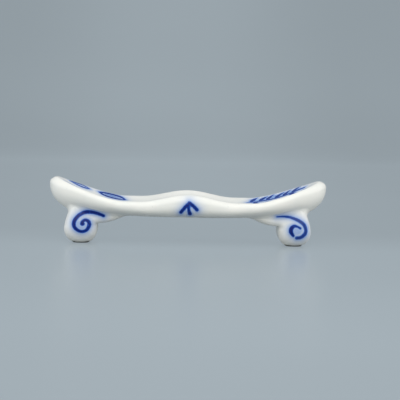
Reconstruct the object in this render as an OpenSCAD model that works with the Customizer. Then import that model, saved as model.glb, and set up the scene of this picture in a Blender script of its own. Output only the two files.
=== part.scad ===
// Porcelain knife rest: a long dished bar on two scroll feet. Each foot is made
// by itself and luted to the underside of the bar with a thin seam of slip.
// The bar lies along X with its ends turned up, and the front faces -Y.
// Origin: on the table, under the middle of the bar. +Z is up.

/* [Bar in plan] */
// Length of the bar, tip to tip
bar_length = 97.6; // [80:0.4:120]
// Width of the bar at its pinched middle
waist_width = 23.6; // [18:0.2:26]
// Width that the bar spreads to before its ends round off
end_width = 27.2; // [22:0.2:32]
// Distance from the middle over which it spreads
spread_reach = 24; // [18:1:42]

/* [Bar from the side] */
// Height of the rim's crest where it is lowest
saddle_z = 15.7; // [14.5:0.1:18]
// How far the crest rises again over the middle
hump_rise = 2.5; // [0.5:0.1:4]
// Distance from the middle at which that hump has died away
hump_reach = 17; // [12:0.5:20]
// Distance from the middle at which the ends start to turn up
rise_start = 22.5; // [16:0.5:26]
// How far the crest of a tip stands above the saddle
tip_rise = 8.7; // [4:0.1:10]
// Height of the underside at the middle, where it is lowest
under_z = 9.6; // [9:0.1:10.5]
// How far the underside has risen at the tips
under_rise = 2.4; // [1:0.1:4]

/* [Rim and dish] */
// Radius of the rim's outer edge along the sides
rim_r = 1.5; // [1:0.1:2]
// Radius of the rim's outer edge at the tips
tip_rim_r = 2.4; // [1.2:0.1:3]
// Width of the rounded nose between a tip and the end of the dish
nose_width = 4.6; // [3:0.1:6]
// Depth of the dish below the crest of the rim
dish_depth = 1.6; // [0.5:0.1:2]

/* [Scroll feet] */
// Distance from a tip of the bar in to the axis of a scroll
foot_setback = 11.2; // [8:0.1:16]
// Radius of the scroll's roll
roll_r = 5.8; // [5:0.1:6.5]
// Height of the roll's axis above the table
roll_z = 5.2; // [4.4:0.1:5.6]
// Width of a foot, front face to back face
foot_width = 15; // [11:0.5:18]
// How deep the rounding of the front and back edges reaches in from the face
edge_depth = 3.2; // [2:0.1:4]
// How far that rounding draws the face in from the outline
edge_draw = 2.3; // [1:0.1:2.6]
// Distance from the roll's axis to the outer side of the neck
neck_x = 4.5; // [3.5:0.1:5]
// Height of the notch between the roll and the tail
notch_z = 7.2; // [6:0.1:8]
// Radius in the bottom of the notch
notch_r = 0.6; // [0.3:0.1:0.8]
// Distance from the roll's axis to the end of the tail
tail_length = 15.2; // [13:0.2:18]

/* [Luting] */
// Thickness of the slip between a foot and the bar
slip_t = 0.4; // [0.2:0.05:0.6]
// How far the slip stands out round the foot
slip_bead = 0.35; // [0.1:0.05:0.5]

/* [Hidden] */

// Exponent of the bar's outline: 2 is an oval, more is squarer
outline_power = 2.4;
// Exponent of the bar's cross-section below the rim
belly_power = 2.35;
// Exponents of the dish: how soon it leaves the crest, and how softly it levels
dish_power = 3;
dish_softness = 1.5;
// Exponents of the rise of the crest and of the underside towards a tip
rise_power = 1.47;
under_power = 2.13;
// How the points of a ring crowd towards the tips: 1 is an even turn
tip_crowding = 0.9;
// Exponents of the neck's and the tail's lower outline
neck_power = 1.3;
tail_power = 1.8;
// Where the roll meets the neck, above level, seen from its axis
neck_angle = 15;

// Points round the bar, and how many rings of them the dish, rim and outside take
around = 120;
dish_rings = 8;
rim_rings = 4;
side_rings = 12;
// Steps of a foot's outline and of its rounded edges
roll_steps = 30;
neck_steps = 4;
notch_steps = 4;
tail_steps = 8;
edge_steps = 6;

half_length = bar_length / 2;
// Distance from the middle of the bar to the axis of a scroll
foot_x = half_length - foot_setback;
// Half the width of the strip that closes the rings along the middle
spine = rim_r / 4;
// How far a foot runs on above the underside before it is cut
seat_reach = 2;
// Distance from a tip over which the rim broadens into its nose
nose_reach = 12;

function clamp01(t) = min(1, max(0, t));
function mix(a, b, t) = a + (b - a) * t;
function ease(t) = let (c = clamp01(t)) c * c * (3 - 2 * c);
function bell(t) = (1 + cos(180 * min(1, abs(t)))) / 2;
function signed_pow(v, e) = sign(v) * pow(abs(v), e);

// Heights and widths of the bar at a distance x from its middle
function past_rise(x) = clamp01((abs(x) - rise_start) / (half_length - rise_start));
function crest_z(x) = saddle_z + hump_rise * bell(x / hump_reach) + tip_rise * pow(past_rise(x), rise_power);
function belly_z(x) = under_z + under_rise * pow(abs(x) / half_length, under_power);
function half_width(x) = mix(waist_width, end_width, ease(abs(x) / spread_reach)) / 2;
function edge_radius(x) = mix(rim_r, tip_rim_r, ease(past_rise(x)));
function rim_width(x) = mix(rim_r, nose_width, ease((abs(x) - half_length + nose_reach) / nose_reach));

// A point of the bar's outline in plan, moved in by an inset
function outline_x(turn) = half_length * signed_pow(cos(turn), tip_crowding);
function outline_end(x) = pow(1 - pow(abs(x) / half_length, outline_power), 1 / outline_power);
function inset_xy(turn, inset) =
    let (x = outline_x(turn), w = half_width(x))
    [x * (half_length - inset) / half_length,
     sign(sin(turn)) * outline_end(x) * max(spine, w - inset)];

// Dish: share runs from 0 at the middle to 1 at the crest of the rim
function dish_point(turn, share) =
    let (x = outline_x(turn),
         p = inset_xy(turn, mix(half_width(x) - spine, rim_width(x), share)),
         fall = pow(1 - pow(share, dish_power), dish_softness))
    [p.x, p.y, crest_z(p.x) - dish_depth * fall];
// Rim: angle runs from 0 at its crest to 90 at the broadest place
function rim_point(turn, angle) =
    let (x = outline_x(turn), r = edge_radius(x),
         inset = rim_width(x) * (1 - sin(angle)),
         p = inset_xy(turn, inset))
    [p.x, p.y, crest_z(inset_xy(turn, max(inset, r)).x) - r * (1 - cos(angle))];
// Outside: angle runs from 0 at the broadest place to 90 under the middle
function side_point(turn, angle) =
    let (x = outline_x(turn), r = edge_radius(x),
         top = crest_z(inset_xy(turn, r).x) - r,
         e = 2 / belly_power,
         p = inset_xy(turn, (half_width(x) - spine) * (1 - pow(max(0, cos(angle)), e))))
    [p.x, p.y, top - (top - belly_z(p.x)) * pow(sin(angle), e)];

function turn_at(i) = (i + 0.5) * 360 / around;
turns = [for (i = [0:around - 1]) turn_at(i)];
bar_rings = concat(
    [for (k = [0:dish_rings - 1]) [for (turn = turns) dish_point(turn, k / dish_rings)]],
    [for (k = [0:rim_rings]) [for (turn = turns) rim_point(turn, 90 * k / rim_rings)]],
    [for (k = [1:side_rings]) [for (turn = turns) side_point(turn, 90 * k / side_rings)]]
);

// Faces of a cell whose corners a, b and d, c lie on neighbouring rings, cut along a-c or b-d
function cell_faces(a, b, c, d, along_ac) = along_ac ? [[a, c, d], [a, b, c]] : [[a, b, d], [b, c, d]];
// Faces between closed rings of n points each, cut alike in opposite quarters of a turn,
// so that both ends of the bar have the same faces
function ring_faces(n, count) = [
    for (k = [0:count - 2], i = [0:n - 1])
        let (a = k * n + i, b = k * n + (i + 1) % n)
        each cell_faces(a, b, b + n, a + n, floor(4 * i / n) % 2 == 0)];
// Faces that close a ring like a zip, joining each point to the one across
function zip_faces(n, first, up) = [
    for (i = [0:n / 2 - 2])
        let (a = first + i, b = first + i + 1, c = first + n - 2 - i, d = first + n - 1 - i)
        each up ? [[a, c, b], [a, d, c]] : [[a, b, c], [a, c, d]]];
// Faces that close a loop of points like a fan round a point in its middle
function fan_faces(loop, middle) = [
    for (k = [0:len(loop) - 1]) [loop[k], loop[(k + 1) % len(loop)], middle]];

module bar_form() {
    count = len(bar_rings);
    polyhedron(
        points = [for (ring = bar_rings) each ring],
        faces = concat(ring_faces(around, count), zip_faces(around, 0, true),
                       zip_faces(around, (count - 1) * around, false)));
}

// Outline of a foot from the front, with x from the roll's axis towards the tip of the
// bar, drawn in by an inset. The notch is a fillet that touches the roll and the tail.
neck_top = belly_z(foot_x + neck_x);
tail_top = belly_z(foot_x - tail_length);
foot_top = neck_top + seat_reach;
roll_top = roll_z + roll_r * sin(neck_angle);
neck_end = (foot_top - roll_top) / (neck_top - roll_top);
notch_center_z = notch_z - notch_r;
notch_angle = asin((notch_center_z - roll_z) / (roll_r + notch_r));
notch_center_x = -(roll_r + notch_r) * cos(notch_angle);
tail_end = pow((foot_top - notch_z) / (tail_top - notch_z), 1 / tail_power);
function round_points(center, r, from, to, steps) = [
    for (k = [0:steps])
        let (angle = mix(from, to, k / steps))
        [center.x + r * cos(angle), center.y + r * sin(angle)]];
function neck_outline(inset) = [
    for (k = [0:neck_steps - 1])
        let (t = neck_end * (1 - k / neck_steps),
             lean = neck_angle * clamp01(1 - t))
        [mix(roll_r * cos(neck_angle), neck_x, pow(t, neck_power)) - inset * cos(lean),
         mix(roll_top, neck_top, t) - inset * sin(lean)]];
function roll_outline(inset) =
    round_points([0, roll_z], roll_r - inset, neck_angle, -180 - notch_angle, roll_steps);
function notch_outline(inset) = [
    for (k = [1:notch_steps])
        round_points([notch_center_x, notch_center_z], notch_r + inset, -notch_angle, 90, notch_steps)[k]];
function tail_outline(inset) = [
    for (k = [1:tail_steps])
        let (t = tail_end * k / tail_steps)
        [mix(notch_center_x, -tail_length, t), mix(notch_z, tail_top, pow(t, tail_power)) + inset]];
function foot_outline(inset) = concat(
    neck_outline(inset), roll_outline(inset), notch_outline(inset), tail_outline(inset),
    [[neck_x - inset, foot_top + edge_draw]]);

// Slices of a foot from its back face to its front face, each with its side and how
// far round the rounded edge it lies: 0 at the face and 90 where the outline is full
edge_turns = [for (k = [0:edge_steps]) 90 * k / edge_steps];
foot_slices = concat(
    [for (k = [0:edge_steps]) [1, edge_turns[k]]],
    [for (k = [edge_steps:-1:0]) [-1, edge_turns[k]]]);
function slice_y(slice, margin) = slice[0] * (foot_width / 2 - edge_depth * (1 - cos(slice[1])) + margin);
function slice_inset(slice, margin) = edge_draw * (1 - sin(slice[1])) - margin;

// A foot before it is cut to its seat, grown all round by a margin
module foot_form(margin) {
    rings = [for (slice = foot_slices)
        [for (p = foot_outline(slice_inset(slice, margin)))
            [foot_x + p.x, slice_y(slice, margin), p.y]]];
    n = len(rings[0]);
    count = len(rings);
    middles = [for (slice = [foot_slices[0], foot_slices[count - 1]])
        [foot_x - notch_r, slice_y(slice, margin), (roll_z + neck_top) / 2]];
    polyhedron(
        points = concat([for (ring = rings) each ring], middles),
        faces = concat(ring_faces(n, count),
                       fan_faces([for (i = [n - 1:-1:0]) i], n * count),
                       fan_faces([for (i = [0:n - 1]) (count - 1) * n + i], n * count + 1)));
}

// Points round an end of the bar, on each side of its tip, that a foot's seat is taken from:
// as many as reach the inner end of the foot's tail
seat_x = foot_x + mix(notch_center_x, -tail_length, tail_end) - slip_bead;
seat_turns = ceil(around / 360 * acos(pow(seat_x / half_length, 1 / tip_crowding))) + 1;

// The right end of the bar below its rim, with the same faces as the bar, lowered by a
// drop and built up to a lid above the feet, as a body to cut a seat with
module seat_block(drop) {
    n = 2 * seat_turns;
    lid_z = saddle_z + tip_rise + edge_draw;
    seat_rings = [for (k = [0:side_rings]) [for (i = [-seat_turns:seat_turns - 1])
        side_point(turn_at(i), 90 * k / side_rings) - [0, 0, drop]]];
    seat = [for (ring = seat_rings) each ring];
    last = side_rings * n;
    edge = concat([for (i = [0:n - 1]) i], [for (k = [1:side_rings]) k * n + n - 1],
                  [for (k = [side_rings:-1:1]) k * n]);
    lid = [for (i = edge) [seat[i].x, seat[i].y, lid_z]];
    middle = [foot_x, 0, lid_z];
    polyhedron(
        points = concat(seat, lid, [middle]),
        faces = concat(
            [for (k = [0:side_rings - 1], i = [0:n - 2])
                let (a = k * n + i)
                each cell_faces(a, a + 1, a + 1 + n, a + n, i >= seat_turns)],
            [for (i = [0:seat_turns - 2])
                each cell_faces(last + i, last + i + 1, last + n - 2 - i, last + n - 1 - i, true)],
            [for (k = [0:len(edge) - 1])
                let (a = k + len(seat), b = (k + 1) % len(edge) + len(seat))
                each cell_faces(a, b, edge[(k + 1) % len(edge)], edge[k], true)],
            fan_faces([for (k = [len(edge) - 1:-1:0]) k + len(seat)], len(seat) + len(edge))));
}

// One foot at the right end, flat on the table below and cut to its seat above
module scroll_foot() {
    difference() {
        foot_form(0);
        seat_block(slip_t);
        translate([0, -foot_width, -roll_r]) cube([bar_length, 2 * foot_width, roll_r]);
    }
}

// The slip that lutes that foot: the gap between its seat and the bar, and a bead round it
module slip_seam() {
    difference() {
        intersection() {
            foot_form(slip_bead);
            seat_block(slip_t);
        }
        seat_block(0);
    }
}

module bar() {
    color("ivory") bar_form();
}
module left_scroll_foot() {
    color("ivory") mirror([1, 0, 0]) scroll_foot();
}
module right_scroll_foot() {
    color("ivory") scroll_foot();
}
module left_slip_seam() {
    color("oldlace") mirror([1, 0, 0]) slip_seam();
}
module right_slip_seam() {
    color("oldlace") slip_seam();
}

bar();
left_scroll_foot();
right_scroll_foot();
left_slip_seam();
right_slip_seam();
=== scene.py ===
"""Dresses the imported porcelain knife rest: a long dished bar luted to two scroll feet.

The bar is a Geometry Nodes form, the feet are lofted from their scroll outline and cut
to the bar, and the slip seams are fillets that follow the joint. Brushwork is sampled
onto the surfaces from brush strokes, and the glaze materials read it from there.
"""

from __future__ import annotations

import logging
import math
from dataclasses import dataclass, field, fields, replace
from enum import Enum
from typing import Callable, Iterable, Sequence, Union

import bmesh
import bpy
import numpy as np
from mathutils import Euler, Matrix, Vector
from mathutils.bvhtree import BVHTree

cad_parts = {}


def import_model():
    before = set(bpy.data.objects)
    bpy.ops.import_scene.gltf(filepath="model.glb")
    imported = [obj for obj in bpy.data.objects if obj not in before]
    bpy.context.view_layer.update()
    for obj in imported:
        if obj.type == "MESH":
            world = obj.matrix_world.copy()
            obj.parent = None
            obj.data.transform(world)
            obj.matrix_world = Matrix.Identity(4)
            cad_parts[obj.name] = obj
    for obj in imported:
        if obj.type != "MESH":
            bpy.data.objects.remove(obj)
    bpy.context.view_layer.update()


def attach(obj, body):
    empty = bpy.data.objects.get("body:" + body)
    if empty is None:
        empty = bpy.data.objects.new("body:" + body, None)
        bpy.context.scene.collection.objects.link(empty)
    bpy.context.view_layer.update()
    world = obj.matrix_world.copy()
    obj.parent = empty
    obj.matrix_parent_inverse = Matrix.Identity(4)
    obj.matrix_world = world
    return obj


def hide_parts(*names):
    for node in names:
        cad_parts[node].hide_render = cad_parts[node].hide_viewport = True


LOG = logging.getLogger("knife_rest")

MM = 0.001
TURN = 2 * math.pi
QUARTER = math.pi / 2
BODY = "root"

Colour = tuple[float, float, float, float]
Triple = tuple[float, float, float]
Pair = tuple[float, float]
Operand = Union["Wire", float, Sequence[float]]


def srgb(red: int, green: int, blue: int) -> Colour:
    """Gives a linear colour for a colour of 0 to 255 as a screen shows it."""
    linear = [
        c / 12.92 if c <= 0.04045 else ((c + 0.055) / 1.055) ** 2.4
        for c in (red / 255, green / 255, blue / 255)
    ]
    return (linear[0], linear[1], linear[2], 1.0)


class Sheet(Enum):
    """Flat sheets that the brushwork is drawn on, each with its height in drawing space."""

    TOP = 0.0
    FRONT = 0.1
    BACK = 0.2
    NOWHERE = 0.9


class Layer(Enum):
    """Layers of paint, each with the word that its stored values start with."""

    LINE = "cobalt"
    WASH = "wash"


class End(Enum):
    """Ends of the bar, each with its sign along it."""

    LEFT = -1
    RIGHT = 1


def operator(operation: str, swapped: bool = False) -> Callable[["Wire", Operand], "Wire"]:
    """Makes an arithmetic method for wires.

    Args:
        operation: what the node does, as Blender names it.
        swapped: whether the wire is the second of the two values.

    Returns:
        The method. It adds one node to the wire's own tree.
    """
    def method(wire: "Wire", other: Operand) -> "Wire":
        """Joins the wire and another value."""
        return wire.tree.arithmetic(operation, *((other, wire) if swapped else (wire, other)))

    return method


class Wire:
    """An output socket that takes part in arithmetic inside its own node tree."""

    __add__ = operator("ADD")
    __radd__ = operator("ADD", swapped=True)
    __sub__ = operator("SUBTRACT")
    __rsub__ = operator("SUBTRACT", swapped=True)
    __mul__ = operator("MULTIPLY")
    __rmul__ = operator("MULTIPLY", swapped=True)
    __truediv__ = operator("DIVIDE")
    __rtruediv__ = operator("DIVIDE", swapped=True)
    __pow__ = operator("POWER")

    def __init__(self, tree: "Tree", socket: bpy.types.NodeSocket) -> None:
        """Keeps the tree and the socket."""
        self.tree = tree
        self.socket = socket


class Tree:
    """Writes one node tree. Wires and plain numbers can be mixed in its calls."""

    def __init__(self, tree: bpy.types.NodeTree) -> None:
        """Keeps the tree and starts with no group input."""
        self.tree = tree
        self.source: bpy.types.Node | None = None

    @classmethod
    def geometry(cls, name: str) -> "Tree":
        """Starts a Geometry Nodes tree."""
        return cls(bpy.data.node_groups.new(name, "GeometryNodeTree"))

    @classmethod
    def shader_group(cls, name: str) -> "Tree":
        """Starts a shader node group."""
        return cls(bpy.data.node_groups.new(name, "ShaderNodeTree"))

    @classmethod
    def material(cls, name: str) -> tuple[bpy.types.Material, "Tree"]:
        """Starts a material.

        Args:
            name: the material's name.

        Returns:
            The material, and its tree with no node in it yet.
        """
        made = bpy.data.materials.new(name)
        made.use_nodes = True
        made.node_tree.nodes.clear()
        return made, cls(made.node_tree)

    def input(self, name: str, kind: str, value: object = None) -> Wire:
        """Adds a named input to the tree.

        Args:
            name: the input's name.
            kind: the socket's type without its "NodeSocket" prefix.
            value: its default, where it has one.

        Returns:
            The wire that carries it.
        """
        socket = self.tree.interface.new_socket(name, in_out="INPUT", socket_type=f"NodeSocket{kind}")
        if value is not None:
            socket.default_value = value
        if self.source is None:
            self.source = self.tree.nodes.new("NodeGroupInput")
        return Wire(self, self.source.outputs[name])

    def outputs(self, **results: tuple[str, Wire]) -> None:
        """Adds the tree's outputs.

        Args:
            **results: the kind and the wire of each output, by its name in small letters.
        """
        end = self.tree.nodes.new("NodeGroupOutput")
        for name, (kind, wire) in results.items():
            label = name.replace("_", " ").title()
            self.tree.interface.new_socket(label, in_out="OUTPUT", socket_type=f"NodeSocket{kind}")
            self.feed(end.inputs[label], wire)

    def feed(self, socket: bpy.types.NodeSocket, value: object) -> None:
        """Links a wire to a socket, or sets a plain value on it.

        Args:
            socket: an input of a node.
            value: the wire, or the plain value.
        """
        if isinstance(value, Wire):
            self.tree.links.new(value.socket, socket)
        elif socket.type == "VECTOR" and isinstance(value, (int, float)):
            socket.default_value = (value, value, value)
        else:
            socket.default_value = value

    def add(self, kind: str, inputs: dict | None = None, **settings: object) -> bpy.types.Node:
        """Adds a node.

        Args:
            kind: the node's type.
            inputs: values or wires for its sockets, by name or place.
            **settings: the node's own settings.

        Returns:
            The node.
        """
        node = self.tree.nodes.new(kind)
        for name, value in settings.items():
            setattr(node, name, value)
        for key, value in (inputs or {}).items():
            self.feed(node.inputs[key], value)
        return node

    def out(self, node: bpy.types.Node, key: str | int = 0) -> Wire:
        """Gives one output of a node as a wire."""
        return Wire(self, node.outputs[key])

    def math(self, operation: str, *values: Operand) -> Wire:
        """Adds a Math node."""
        return self.out(self.add("ShaderNodeMath", dict(enumerate(values)), operation=operation))

    def vector(self, operation: str, *values: Operand) -> Wire:
        """Adds a Vector Math node."""
        return self.out(self.add("ShaderNodeVectorMath", dict(enumerate(values)), operation=operation))

    def arithmetic(self, operation: str, a: Operand, b: Operand) -> Wire:
        """Adds a Math node, or a Vector Math node where a value is a vector."""
        vectors = [v for v in (a, b) if isinstance(v, (tuple, Vector))
                   or isinstance(v, Wire) and v.socket.type == "VECTOR"]
        return (self.vector if vectors else self.math)(operation, a, b)

    def length(self, vector: Wire) -> Wire:
        """Gives a vector's length."""
        return self.out(self.add("ShaderNodeVectorMath", {0: vector}, operation="LENGTH"), "Value")

    def clamp(self, value: Operand) -> Wire:
        """Keeps a value from 0 to 1."""
        return self.out(self.add("ShaderNodeClamp", {"Value": value}))

    def mix(self, a: Operand, b: Operand, share: Operand) -> Wire:
        """Blends from a to b."""
        return self.arithmetic("SUBTRACT", b, a) * share + a

    def ease(self, value: Operand) -> Wire:
        """Eases a value in and out between 0 and 1."""
        t = self.clamp(value)
        return t * t * (3 - t * 2)

    def fade(self, value: Wire, low: Operand, high: Operand) -> Wire:
        """Gives a soft step: 0 at low and 1 at high."""
        span = self.arithmetic("SUBTRACT", high, low)
        return self.ease((value - low) / span)

    def combine(self, x: Operand, y: Operand, z: Operand) -> Wire:
        """Makes a vector."""
        return self.out(self.add("ShaderNodeCombineXYZ", {0: x, 1: y, 2: z}))

    def separate(self, vector: Wire) -> tuple[Wire, Wire, Wire]:
        """Splits a vector."""
        node = self.add("ShaderNodeSeparateXYZ", {0: vector})
        return self.out(node, 0), self.out(node, 1), self.out(node, 2)

    def noise(self, place: Wire, scale: float, detail: float = 2.0, rough: float = 0.5) -> Wire:
        """Gives noise from 0 to 1, with its scale in features per metre."""
        node = self.add("ShaderNodeTexNoise", {"Vector": place, "Scale": scale, "Detail": detail,
                                               "Roughness": rough})
        return self.out(node, 0)

    def colour_mix(self, a: object, b: object, share: Operand) -> Wire:
        """Blends two colours."""
        node = self.add("ShaderNodeMix", {"Factor": share, 6: a, 7: b}, data_type="RGBA")
        return self.out(node, 2)

    def choose(self, test: Wire, yes: Operand, no: Operand, kind: str = "FLOAT") -> Wire:
        """Chooses between two values by a true or false wire."""
        node = self.add("GeometryNodeSwitch", {"Switch": test, "True": yes, "False": no}, input_type=kind)
        return self.out(node)

    def less(self, a: Operand, b: Operand) -> Wire:
        """Tells whether a is less than b."""
        return self.out(self.add("FunctionNodeCompare", {0: a, 1: b}, operation="LESS_THAN"))

    def store(self, geometry: Wire, name: str, kind: str, value: Wire) -> Wire:
        """Stores a value on each point under a name."""
        node = self.add("GeometryNodeStoreNamedAttribute",
                        {"Geometry": geometry, "Name": name, "Value": value}, data_type=kind)
        return self.out(node)

    def named(self, name: str, kind: str) -> Wire:
        """Reads a named value of each point."""
        return self.out(self.add("GeometryNodeInputNamedAttribute", {"Name": name}, data_type=kind))

    def sample(self, geometry: Wire, value: Wire, index: Wire, kind: str) -> Wire:
        """Reads a value at one point of another geometry."""
        inputs = {"Geometry": geometry, "Value": value, "Index": index}
        return self.out(self.add("GeometryNodeSampleIndex", inputs, data_type=kind))

    def position(self) -> Wire:
        """Gives the place of each point of a form."""
        return self.out(self.add("GeometryNodeInputPosition"))

    def object_place(self) -> Wire:
        """Gives the shaded place in the object's own space."""
        return self.out(self.add("ShaderNodeTexCoord"), "Object")

    def flat_grid(self, around: Wire, rows: Wire) -> tuple[Wire, Wire, Wire]:
        """Lays the flat grid that a closed form is bent from.

        Args:
            around: how many steps go round the form.
            rows: how many steps go from its first row to its last.

        Returns:
            The grid, and each point's shares of the way round and down the rows.
        """
        grid = self.add("GeometryNodeMeshGrid", {"Size X": 1.0, "Size Y": 1.0,
                                                 "Vertices X": around + 1, "Vertices Y": rows + 1})
        u, v, _ = self.separate(self.position())
        return self.out(grid), u + 0.5, v + 0.5

    def bend_grid(self, grid: Wire, place: Wire, merge: Wire, material: Wire) -> None:
        """Bends a flat grid into its form, joins its ends and ends the tree.

        Args:
            grid: the flat grid.
            place: where each of its points goes.
            merge: how near two points have to be to become one.
            material: the form's material.
        """
        placed = self.add("GeometryNodeSetPosition", {"Geometry": grid, "Position": place})
        closed = self.add("GeometryNodeMergeByDistance", {"Geometry": self.out(placed), "Distance": merge})
        self.finish_form(self.out(closed), material)

    def finish_form(self, geometry: Wire, material: Wire) -> None:
        """Ends a form: smooth, realised and with its material.

        Args:
            geometry: the form.
            material: its material.
        """
        smooth = self.add("GeometryNodeSetShadeSmooth", {"Geometry": geometry})
        real = self.add("GeometryNodeRealizeInstances", {"Geometry": self.out(smooth)})
        dressed = self.add("GeometryNodeSetMaterial", {"Geometry": self.out(real), "Material": material})
        self.outputs(geometry=("Geometry", self.out(dressed)))


def new_object(name: str, data: bpy.types.ID) -> bpy.types.Object:
    """Makes an object and links it to the scene.

    Args:
        name: its name.
        data: its mesh, light or camera.

    Returns:
        The object, at the origin.
    """
    made = bpy.data.objects.new(name, data)
    bpy.context.scene.collection.objects.link(made)
    return made


def apply_modifiers(thing: bpy.types.Object) -> None:
    """Turns an object's modifiers into its plain mesh.

    Args:
        thing: the object, at the origin.
    """
    evaluated = thing.evaluated_get(bpy.context.evaluated_depsgraph_get())
    mesh = bpy.data.meshes.new_from_object(evaluated)
    thing.modifiers.clear()
    thing.data = mesh
    mesh.name = thing.name


def run_tree(thing: bpy.types.Object, tree: Tree, values: dict[str, object]) -> None:
    """Runs a Geometry Nodes tree on an object and keeps the plain result.

    Args:
        thing: the object that the tree works on.
        tree: the tree.
        values: the tree's inputs by name, set by their sockets' identifiers.
    """
    modifier = thing.modifiers.new(tree.tree.name, "NODES")
    modifier.node_group = tree.tree
    for item in tree.tree.interface.items_tree:
        if item.in_out == "INPUT" and item.name in values:
            modifier[item.identifier] = values[item.name]
    apply_modifiers(thing)
    thing.data.materials.clear()
    thing.data.materials.append(values["Material"])
    thing.data.polygons.foreach_set("material_index", [0] * len(thing.data.polygons))


def tidy(thing: bpy.types.Object, merge: float) -> None:
    """Merges doubles and turns every face outwards.

    Args:
        thing: an object with a closed mesh.
        merge: how near two points have to be to become one.
    """
    work = bmesh.new()
    work.from_mesh(thing.data)
    bmesh.ops.remove_doubles(work, verts=work.verts, dist=merge)
    bmesh.ops.dissolve_degenerate(work, edges=work.edges, dist=merge / 2)
    bmesh.ops.recalc_face_normals(work, faces=work.faces)
    if work.calc_volume(signed=True) < 0:
        bmesh.ops.reverse_faces(work, faces=work.faces)
    for face in work.faces:
        face.smooth = True
    work.to_mesh(thing.data)
    work.free()


@dataclass(frozen=True)
class Stroke:
    """One pull of the brush, as (across, up, half width) in millimetres."""

    points: tuple[Triple, ...]
    sheet: Sheet = Sheet.FRONT
    load: float = 1.0

    def on(self, sheet: Sheet) -> "Stroke":
        """Gives the same stroke on another sheet."""
        return replace(self, sheet=sheet)

    def flipped(self) -> "Stroke":
        """Gives the stroke mirrored in its own across line."""
        return replace(self, points=tuple((x, -y, w) for x, y, w in self.points))

    def moved(self, across: float, up: float, turned: float = 0.0, mirror: float = 1.0) -> "Stroke":
        """Gives the stroke turned about its origin, mirrored and moved.

        Args:
            across: how far it moves across, in millimetres.
            up: how far it moves up.
            turned: the angle that it turns by, in radians.
            mirror: -1 where it is mirrored from left to right, and otherwise 1.

        Returns:
            The new stroke.
        """
        cos, sin = math.cos(turned), math.sin(turned)
        points = tuple((across + mirror * (x * cos - y * sin), up + x * sin + y * cos, w)
                       for x, y, w in self.points)
        return replace(self, points=points)


def leaf(length: float, width: float, bend: float, load: float) -> Stroke:
    """Draws a leaf as one stroke that swells and runs out, from the origin along +across.

    Args:
        length: from stalk to tip, in millimetres.
        width: across its widest place.
        bend: how far it bows to one side.
        load: how much paint the brush carries, from 0 to 1.

    Returns:
        The stroke, on the top sheet.
    """
    stalk_width, tip_width, tip_bend_share = 0.12, 0.1, 0.4
    body_shares = ((0.35, 0.8, 0.5), (0.7, 1.0, 0.36))
    body = ((length * along, bend * bow, width * wide) for along, bow, wide in body_shares)
    tip = (length, bend * tip_bend_share, tip_width)
    return Stroke(((0.0, 0.0, stalk_width), *body, tip), Sheet.TOP, load)


def blossom(radius: float, petals: int, start: float) -> list[Stroke]:
    """Draws an open flower: petals in outline round a dotted middle.

    Args:
        radius: from its middle to the petals' tips, in millimetres.
        petals: how many petals it has.
        start: the first petal's angle, in radians.

    Returns:
        Its strokes, round the origin of the top sheet.
    """
    heart, petal_root, vein_root, vein_load = 0.42, 0.75, 0.9, 0.6
    belly, shoulder = radius * 0.62, radius * 0.95
    drawn = [Stroke(((0.0, 0.0, heart), (0.12, 0.05, heart)), Sheet.TOP)]
    for k in range(petals):
        angle = start + TURN * k / petals
        for side in (-1, 1):
            edge = Stroke(((petal_root, 0.0, 0.1), (belly, side * radius * 0.3, 0.26),
                           (shoulder, side * radius * 0.2, 0.3), (radius, 0.0, 0.24)), Sheet.TOP)
            drawn.append(edge.moved(0, 0, angle))
        vein = Stroke(((vein_root, 0.0, 0.12), (belly, 0.0, 0.1)), Sheet.TOP, vein_load)
        drawn.append(vein.moved(0, 0, angle))
    return drawn


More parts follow.
